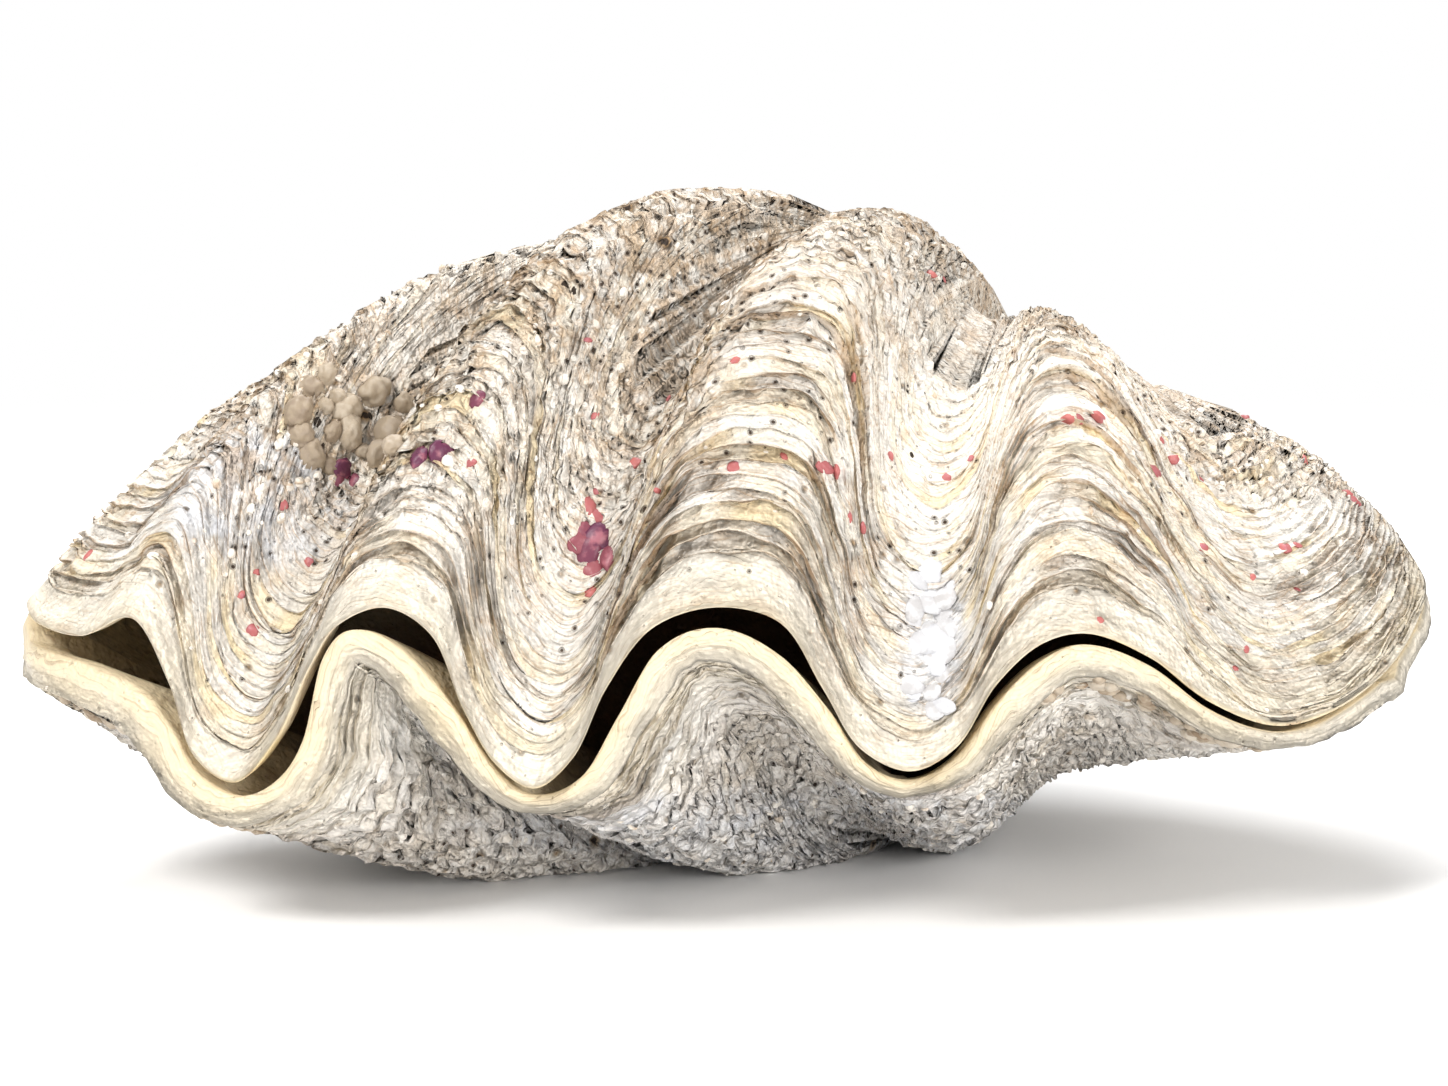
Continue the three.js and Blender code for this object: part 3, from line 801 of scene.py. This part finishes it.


# The stain strength scales the tan stains and dirt together with the painted shade in the steps and cracks.
def shell_material(name, white, grey, cream, yellow, tan, brown, stain_and_shade=1.0, banding=1.0):
    material, t, shader = new_material(name)
    place = place_of(t)
    growth, step, worn, lip, tint, deep, soft, chalk = (
        mark_of(t, m) for m in ("growth", "step", "worn", "lip", "tint", "deep", "soft", "chalk"))
    middle = add_node(t, "ShaderNodeTexNoise", None, Vector=place, Scale=150, Detail=3, Roughness=0.65)
    mid = middle.outputs[0]
    fine_noise = add_node(t, "ShaderNodeTexNoise", None, Vector=place, Scale=700, Detail=1, Roughness=0.6)
    grit = fine_noise.outputs[0]
    lines = use_effect(t, growth_effect, Growth=growth, Spacing=0.0023, Ragged=mid)
    often = times(t, between(t, soft, 0.36, 0.6, 0.25, 1.0), between(t, growth, 0.008, 0.07, 0.25, 1.0))
    holes = use_effect(t, hole_effect, Scale=430, Chance=times(t, often, 0.8), Size=0.2)
    pits = use_effect(t, hole_effect, Scale=130, Chance=times(t, often, 0.3), Size=0.16)
    bent = add_node(t, "ShaderNodeVectorMath", dict(operation="MULTIPLY_ADD"),
                    i0=middle.outputs[1], i1=(0.009, 0.009, 0.009), i2=place).outputs[0]
    tall = add_node(t, "ShaderNodeMapping", None, Vector=bent, Scale=(1, 1, 0.6)).outputs[0]
    lumps = add_node(t, "ShaderNodeTexVoronoi", None, Vector=tall, Scale=340).outputs["Distance"]
    between_lumps = times(t, between(t, lumps, 0.34, 0.68), worn)
    outside = maths(t, "SUBTRACT", 1.0, lip)

    colour = blended(t, between(t, soft, 0.36, 0.62), white, grey)
    band = times(t, between(t, tint, 0.3, 0.75), between(t, growth, 0.05, 0.11, 0.8 * banding, 0.3 * banding))
    colour = blended(t, band, colour, cream)
    gold = times(t, between(t, tint, 0.72, 1.0), between(t, growth, 0.04, 0.1, 0.6 * banding, 0.1 * banding))
    colour = blended(t, gold, colour, yellow)
    colour = blended(t, times(t, between(t, mid, 0.5, 0.68), 0.36 * stain_and_shade), colour, tan)
    colour = blended(t, times(t, chalk, between(t, mid, 0.3, 0.55, 1.0, 0.55)), colour, CHALK)
    # Tan threads along the fine growth lines: dirt and painted shade at the foot of each fine step.
    thread_dirt_and_shade = times(t, lines["Thread"], between(t, mid, 0.36, 0.58, 0.1, 1.0))
    colour = blended(t, times(t, thread_dirt_and_shade, 0.7 * stain_and_shade), colour, tan)
    colour = blended(t, times(t, between_lumps, between(t, soft, 0.35, 0.65, 0.15, 0.6 * stain_and_shade)), colour, tan)
    # Tan where the step mark is low, at the feet of the layers and between worn lumps: dirt and painted
    # shade.
    low = between(t, step, 0.08, 0.5, 1, 0)
    dirt_and_shade = times(t, low, between(t, mid, 0.3, 0.6, 0.35, 1.0))
    colour = blended(t, times(t, dirt_and_shade, 0.72 * stain_and_shade, True), colour, tan)
    # Near-black brown at the feet of the layers, under each free edge: painted shade with some dirt.
    crack_shade = times(t, between(t, step, 0.0, 0.3, 1, 0), between(t, soft, 0.36, 0.58, 0.35, 0.95))
    crack_shade = times(t, crack_shade, between(t, worn, 0.0, 1.0, 1.0, 0.45))
    colour = blended(t, times(t, crack_shade, 0.8 * stain_and_shade), colour, brown)
    fresh = times(t, between(t, growth, 0.001, 0.016, 0.85, 0.0), between(t, mid, 0.3, 0.7, 1, 0.6))
    colour = blended(t, fresh, colour, cream)
    colour = blended(t, times(t, pits["Rim"], outside), colour, tan)
    # Pin holes and pits painted near black, as the shade inside them.
    pin_hole_shade = times(t, maths(t, "MAXIMUM", holes["Hole"], pits["Hole"]), outside)
    colour = blended(t, pin_hole_shade, colour, PIN_HOLE_SHADE)
    worn_lip = blended(t, between(t, mid, 0.4, 0.7), cream, tuple(c * 0.9 for c in cream[:3]) + (1,))
    inner = between(t, growth, -0.0075, -0.0025, 0.7, 0.0)
    golden = maths(t, "MAXIMUM", between(t, soft, 0.4, 0.75, 0.1, 0.9), inner)
    lip_colour = blended(t, golden, worn_lip, yellow)
    lip_line = times(t, lines["Thread"], between(t, mid, 0.36, 0.58, 0.12, 0.75))
    lip_colour = blended(t, lip_line, lip_colour, tan)
    colour = blended(t, lip, colour, lip_colour)
    # The hollow inside the valve painted dark brown as shade.
    colour = blended(t, deep, colour, HOLLOW_SHADE_BROWN)
    t.links.new(colour, shader.inputs["Base Color"])
    t.links.new(between(t, lip, 0.0, 1.0, 0.8, 0.42), shader.inputs["Roughness"])

    relief = times(t, lines["Height"], between(t, growth, 0.0, 0.09, 1.1, 0.35))
    relief = maths(t, "ADD", relief, times(t, mid, 2.3))
    relief = maths(t, "ADD", relief, times(t, grit, 1.2))
    bulge = times(t, times(t, lumps, lumps), times(t, worn, -2.6))
    relief = maths(t, "ADD", relief, bulge)
    relief = maths(t, "SUBTRACT", relief, times(t, holes["Rim"], 1.2))
    relief = maths(t, "SUBTRACT", relief, times(t, pits["Rim"], 2.6))
    relief = times(t, relief, between(t, outside, 0.0, 1.0, 0.4, 1.0))
    bump = add_node(t, "ShaderNodeBump", None, Strength=1.0, Distance=0.0008, Height=relief)
    t.links.new(bump.outputs[0], shader.inputs["Normal"])
    return material


WHITE, GREY = (0.84, 0.80, 0.735, 1), (0.72, 0.68, 0.62, 1)
CREAM, YELLOW = (0.78, 0.70, 0.555, 1), (0.76, 0.61, 0.34, 1)
# CRACK_SHADE_BROWN is the near-black of the cracks under the free edges: painted shade with some dirt.
TAN, CRACK_SHADE_BROWN = (0.47, 0.30, 0.15, 1), (0.13, 0.065, 0.028, 1)
upper_paint = shell_material("weathered_upper_shell", WHITE, GREY, CREAM, YELLOW, TAN, CRACK_SHADE_BROWN, 0.85)
# The lower valve's whites and creams are painted lighter than the upper valve's, to make up for the shade it
# sits in.
lower_paint = shell_material(
    "weathered_lower_shell_painted_lighter", (0.88, 0.85, 0.80, 1), (0.76, 0.72, 0.67, 1), (0.74, 0.665, 0.53, 1),
    (0.73, 0.60, 0.38, 1), (0.46, 0.345, 0.22, 1), CRACK_SHADE_BROWN, 0.4, 0.25)
upper_shell.data.materials.append(upper_paint)
lower_shell.data.materials.append(lower_paint)
print("materials", [m.name for m in bpy.data.materials])

# %% [markdown]
# ## Things that grew on it
# A clam shell that lies on a reef is settled by others: round-topped worms and sponges, chalky algae in the
# grooves and thin pink and plum crusts. Each growth sits where it is seen in the photograph: a line from
# the camera through that place meets the shell, and the lump is set there, half sunk, along the surface.

# %% Places on the shell
def tree_of(obj):
    bm = bmesh.new()
    bm.from_mesh(obj.data)
    tree = BVHTree.FromBMesh(bm)
    bm.free()
    return tree


PIXELS_PER_MM = 4.6  # of the photograph, on the shell
BATCH = 40  # lumps made in one go: a mesh that grows by one lump at a time is slow
GOLDEN_TURN = 2.399  # radians, so that no two neighbours are turned alike
trees = [tree_of(upper_shell), tree_of(lower_shell)]


def on_shell(x, y):
    """The place and outward direction on the shell that the photograph shows at x, y, or None."""
    per_pixel = SENSOR / LENS / PHOTO_SIZE[0]
    up = Vector((0, math.sin(CAMERA_RISE), math.cos(CAMERA_RISE)))
    across, down = (v - full / 2 for v, full in zip((x, y), PHOTO_SIZE))
    way = (Vector((1, 0, 0)) * (across * per_pixel) - up * (down * per_pixel) - Vector(back)).normalized()
    hits = [tree.ray_cast(camera.location, way) for tree in trees]
    hits = [h for h in hits if h[0] is not None]
    if not hits:
        return None
    nearest = min(hits, key=lambda h: h[3])
    return nearest[0], nearest[1]


def lumps_piece(name, items, paint, marks=()):
    """One mesh of lumps. Items: place, outward, width mm, height share, sunk share, rough, finer, value."""
    mesh = bpy.data.meshes.new(name)
    whole = bmesh.new()
    for batch in range(0, len(items), BATCH):
        bm = bmesh.new()
        value = bm.verts.layers.float.new("value")
        for number, item in enumerate(items[batch:batch + BATCH], batch):
            add_lump(bm, value, number, *item)
        for mark, amount in marks:
            layer = bm.verts.layers.float.new(mark)
            for v in bm.verts:
                v[layer] = amount
        bm.to_mesh(mesh)
        bm.free()
        whole.from_mesh(mesh)
    whole.to_mesh(mesh)
    whole.free()
    mesh.shade_smooth()
    obj = show(name, mesh)
    mesh.materials.append(paint)
    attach(obj, "root")
    print(name, len(items), "lumps,", sum(len(p.vertices) - 2 for p in mesh.polygons), "triangles")
    return obj


def add_lump(bm, value, number, place, outward, width, tallness, sunk, rough, finer, shade):
    turn = outward.to_track_quat("Z", "Y").to_matrix().to_4x4()
    made = bmesh.ops.create_icosphere(bm, subdivisions=finer, radius=1.0)["verts"]
    bulges = smooth_noise(np.array([v.co for v in made]) * 2.0 + number * 7.7, 1.1, 5, 2) * rough
    spin = Matrix.Rotation(number * GOLDEN_TURN, 4, "Z")
    half = width * MM / 2
    shape = Matrix.Diagonal((half, half * (0.8 + 0.2 * math.sin(number * 1.7)), half * tallness, 1))
    whole = Matrix.Translation(place + outward * half * tallness * (1 - 2 * sunk)) @ turn @ spin @ shape
    inset = INSET * MM
    for v, bulge in zip(made, bulges):
        moved = whole @ (v.co * (1 + bulge))
        v.co = [min(max(c, low + inset), high - inset) for c, low, high in zip(moved, *cad_box)]
        v[value] = shade


def growth_paint(name, pale, dark, spots, rough=0.7, ramp_at=(0.4, 0.62), bump_mm=0.35):
    """A material that goes from pale to dark by each lump's own value, with soft spots."""
    material, t, shader = new_material(name)
    noise = add_node(t, "ShaderNodeTexNoise", None, Vector=place_of(t), Scale=420, Detail=3).outputs[0]
    colour = blended(t, mark_of(t, "value"), pale, dark)
    colour = blended(t, between(t, noise, ramp_at[0], ramp_at[1], 0.0, 0.75), colour, spots)
    t.links.new(colour, shader.inputs["Base Color"])
    shader.inputs["Roughness"].default_value = rough
    bump = add_node(t, "ShaderNodeBump", None, Strength=1.0, Distance=bump_mm * MM, Height=noise)
    t.links.new(bump.outputs[0], shader.inputs["Normal"])
    return material


# %% Knob cluster
KNOBS_SEEN = [  # x, y, width in pixels of the photograph, how brown
    (311, 387, 34, 0.7), (300, 412, 36, 0.8), (300, 434, 34, 0.7), (326, 408, 24, 0.15), (349, 411, 38, 0.1),
    (372, 391, 40, 0.3), (350, 438, 38, 0.15), (314, 457, 40, 0.6), (389, 432, 40, 0.55), (381, 455, 36, 0.5),
    (403, 404, 30, 0.4), (328, 376, 30, 0.2), (352, 424, 30, 0.0), (395, 447, 30, 0.45),
    (336, 398, 26, 0.2), (334, 432, 24, 0.75), (330, 468, 26, 0.8), (366, 452, 26, 0.4)]

knob_items = []
for x, y, width, brown in KNOBS_SEEN:
    place, outward = on_shell(x, y)
    outward = (outward + Vector((0.0, -0.7, 0.5))).normalized()
    knob_items.append((place, outward, width / 5.3, 0.8, 0.42, 0.3, 4, brown))
lumps_piece("knob_growths", knob_items, growth_paint(
    "knob_lime", (0.47, 0.40, 0.31, 1), (0.21, 0.15, 0.10, 1), (0.34, 0.27, 0.19, 1), 0.55))

# %% Pink and plum crusts
PLUM_SEEN = [
    (584, 530, 30, 0.8), (600, 540, 32, 1.0), (588, 552, 34, 0.9), (606, 558, 28, 0.75),
    (594, 566, 24, 0.6), (580, 545, 22, 0.7), (590, 505, 20, 0.35), (596, 515, 18, 0.45),
    (345, 470, 22, 1.0), (353, 480, 18, 0.9), (340, 480, 16, 0.85), (417, 456, 24, 1.0),
    (443, 452, 24, 1.0), (470, 462, 14, 0.35), (476, 399, 20, 0.9)]
PINK_SEEN = [
    (88, 554, 13), (283, 505, 11), (258, 572, 10), (242, 595, 10), (253, 630, 14), (309, 562, 10),
    (588, 340, 9), (594, 416, 10), (634, 463, 14), (596, 491, 9), (658, 491, 9), (736, 361, 10),
    (734, 467, 13), (784, 456, 10), (826, 467, 20), (835, 472, 14), (850, 517, 12), (862, 528, 12),
    (890, 456, 10), (932, 273, 12), (944, 279, 10), (853, 378, 10), (946, 477, 12), (970, 458, 8),
    (1067, 421, 16), (1080, 418, 14), (1097, 418, 16), (1154, 471, 18), (1171, 461, 16),
    (1162, 440, 12), (1201, 479, 9), (1204, 547, 13), (1253, 576, 12), (1297, 544, 12), (1285, 547, 14),
    (1297, 589, 9), (1247, 649, 12), (1306, 460, 12), (1353, 499, 20), (1346, 492, 16), (1244, 417, 12),
    (945, 637, 12), (590, 590, 14), (668, 398, 8), (1236, 668, 8), (1100, 620, 8)]
crust_items = []
for number, (x, y, width, *dark) in enumerate(PLUM_SEEN + PINK_SEEN):
    found = on_shell(x, y)
    if found:
        shade = dark[0] if dark else 0.12 + 0.3 * ((number * 0.618) % 1)
        crust_items.append((*found, width / PIXELS_PER_MM, 0.42, 0.3, 0.32, 3, shade))
lumps_piece("pink_crusts", crust_items, growth_paint(
    "pink_crust", (0.52, 0.15, 0.13, 1), (0.10, 0.015, 0.05, 1), (0.40, 0.14, 0.17, 1), 0.45, (0.5, 0.72)))

# %% Chalky lumps and brown crusts
chance = np.random.default_rng(12)
chalk_items = []
for y in range(572, 712, 11):
    for step in range(2):
        x = 930 - (y - 640) * 0.06 + chance.uniform(-20, 20)
        found = on_shell(x, y + chance.uniform(-5, 5))
        if found:
            width = chance.uniform(16, 34) / PIXELS_PER_MM
            chalk_items.append((*found, width, 0.34, 0.36, 0.25, 3, chance.uniform(0, 1)))
lumps_piece("chalky_lumps", chalk_items, growth_paint(
    "chalky_algae", (0.53, 0.54, 0.57, 1), (0.42, 0.405, 0.40, 1), (0.60, 0.605, 0.62, 1), 0.6, bump_mm=0.6))

brown_items = []
below_lip, _ = seen_at((lower_foot + SHIFT) * MM)
for low_x, high_x, count in ((55, 235, 46), (1040, 1310, 40)):
    near = np.flatnonzero((below_lip[:, 0] > low_x) & (below_lip[:, 0] < high_x) & (lower_foot[:, 1] < 10))
    for _ in range(count):
        column = chance.choice(near)
        from_lip = chance.uniform(2.0, 11.0)
        points, outward = lower_outside.at(from_lip / lower_outside.length)
        place = Vector((points[column] + SHIFT) * MM)
        brown_items.append((place, Vector(outward[column]), chance.uniform(2.0, 5.2), 0.6, 0.3, 0.3, 3,
                            chance.uniform(0, 1)))
lumps_piece("brown_crusts", brown_items, growth_paint(
    "brown_crust", (0.62, 0.56, 0.47, 1), (0.26, 0.18, 0.11, 1), (0.50, 0.42, 0.32, 1), 0.8))


# %% Bored holes, shown as dark patches painted as the shade inside them
HOLES_SEEN = [(566, 284, 11), (573, 290, 9), (318, 423, 12), (371, 417, 11), (323, 447, 9), (401, 397, 9),
              (912, 456, 10), (1112, 300, 10), (770, 820, 9)]
hole_items = []
for x, y, width in HOLES_SEEN:
    found = on_shell(x, y)
    if found:
        hole_items.append((*found, width / PIXELS_PER_MM, 0.16, 0.2, 0.25, 3, 0.5))
lumps_piece("bored_hole_shade", hole_items, growth_paint(
    "hole_shadow", (0.025, 0.016, 0.01, 1), (0.02, 0.012, 0.008, 1), (0.03, 0.02, 0.012, 1), 0.9))

# %% [markdown]
# Hundreds of small rounded tubercles roughen the old dome and the far ends, thickest in a few patches.
# They are low lumps of few faces, sunk into the worn surface wherever a seeded draw puts them.

# %% Tubercles
def read(parts, what, each=1, kind=float):
    """One named value of all faces, corners or points of a mesh."""
    values = np.empty(len(parts) * each, dtype=kind)
    parts.foreach_get(what, values)
    return values


def scattered(obj, count, seed, keep):
    """Places on an object's faces, drawn by area where keep(mark of wear, centre) says so."""
    mesh = obj.data
    centres = read(mesh.polygons, "center", 3).reshape(-1, 3)
    normals = read(mesh.polygons, "normal", 3).reshape(-1, 3)
    areas = read(mesh.polygons, "area")
    corner = read(mesh.loops, "vertex_index", kind=np.int32)[read(mesh.polygons, "loop_start", kind=np.int32)]
    marks = {name: read(mesh.attributes[name].data, "value")[corner] for name in ("worn", "lip")}
    weight = areas * keep(marks["worn"], centres) * (marks["lip"] < 0.5)
    draw = np.random.default_rng(seed).choice(len(areas), count, p=weight / weight.sum())
    return [(Vector(centres[i]), Vector(normals[i])) for i in draw]


def thick_patches(worn, centres):
    """Tubercles are thickest on worn parts, at the far right and on the left slope."""
    pixels, _ = seen_at(centres)
    x, y = pixels[:, 0], pixels[:, 1]
    right = np.exp(-((x - 1290) / 90) ** 2 - ((y - 450) / 60) ** 2)
    left = np.exp(-((x - 270) / 80) ** 2 - ((y - 500) / 60) ** 2)
    return 0.02 + 0.5 * worn ** 2 + 1.6 * right + 1.1 * left


tubercle_items = []
for obj, count, seed in ((upper_shell, 1250, 3), (lower_shell, 450, 4)):
    for place, outward in scattered(obj, count, seed, thick_patches):
        width = 0.9 + 2.2 * chance.random() ** 2
        tubercle_items.append((place, outward, width, 0.7, 0.35, 0.22, 2, chance.uniform(0, 1)))
lumps_piece("tubercles", tubercle_items, upper_paint,
            (("growth", 0.1), ("step", 0.8), ("worn", 0.4), ("tint", 0.4), ("soft", 0.45)))

# %% [markdown]
# ## The hinge strip
# Behind the umbones a dark, horny ligament once pulled the valves open. Dried, it is a fibrous brown strip
# in the seam. The photograph doesn't show it, so it is made as such shells have it.

# %% Hinge strip
def hinge_strip():
    low, high = (Vector(c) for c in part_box("hinge_ligament"))
    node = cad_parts["hinge_ligament"]
    bm = bmesh.new()
    bm.from_mesh(node.data)
    bmesh.ops.remove_doubles(bm, verts=bm.verts, dist=1e-6)
    bmesh.ops.dissolve_limit(bm, angle_limit=math.radians(1), verts=bm.verts, edges=bm.edges)
    bmesh.ops.triangulate(bm, faces=bm.faces)
    bmesh.ops.subdivide_edges(bm, edges=bm.edges, cuts=3, use_grid_fill=True, smooth=0.0)
    for v in bm.verts:
        p = np.array(v.co)[None] / MM
        ridge = float(smooth_noise(p * [0.25, 0.25, 1.6], 1.4, 77, 2)[0])
        v.co -= v.normal * (0.35 + 0.35 * ridge) * MM
    mesh = bpy.data.meshes.new("hinge_strip")
    bm.to_mesh(mesh)
    bm.free()
    mesh.shade_smooth()
    obj = show("hinge_strip", mesh)
    print("hinge_strip", len(mesh.polygons), "faces, from", tuple(low), "to", tuple(high))
    return obj


hinge = hinge_strip()
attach(hinge, "root")
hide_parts("hinge_ligament")
horn, t, shader = new_material("dried_ligament")
drawn_out = add_node(t, "ShaderNodeMapping", None, Vector=place_of(t), Scale=(60, 60, 900)).outputs[0]
fibres = add_node(t, "ShaderNodeTexNoise", None, Vector=drawn_out, Scale=1, Detail=5).outputs[0]
horn_colour = blended(t, between(t, fibres, 0.35, 0.7), (0.025, 0.013, 0.008, 1), (0.13, 0.07, 0.035, 1))
t.links.new(horn_colour, shader.inputs["Base Color"])
shader.inputs["Roughness"].default_value = 0.55
horn_bump = add_node(t, "ShaderNodeBump", None, Strength=0.8, Distance=0.0006, Height=fibres)
t.links.new(horn_bump.outputs[0], shader.inputs["Normal"])
hinge.data.materials.append(horn)

# %% [markdown]
# ## The floor
# A large pale floor that runs out of sight carries the soft shadow.

# %% Floor
bm = bmesh.new()
bmesh.ops.create_grid(bm, x_segments=1, y_segments=1, size=6)
floor_mesh = bpy.data.meshes.new("floor")
bm.to_mesh(floor_mesh)
bm.free()
floor = show("floor", floor_mesh)
floor.location.z = -0.2 * MM
pale, t, shader = new_material("pale_floor")
shader.inputs["Base Color"].default_value = (0.93, 0.93, 0.93, 1)
shader.inputs["Roughness"].default_value = 0.8
reach = add_node(t, "ShaderNodeVectorMath", dict(operation="LENGTH"), i0=place_of(t)).outputs["Value"]
t.links.new(between(t, reach, 0.5, 1.0, 1.0, 0.0), shader.inputs["Alpha"])
floor_mesh.materials.append(pale)
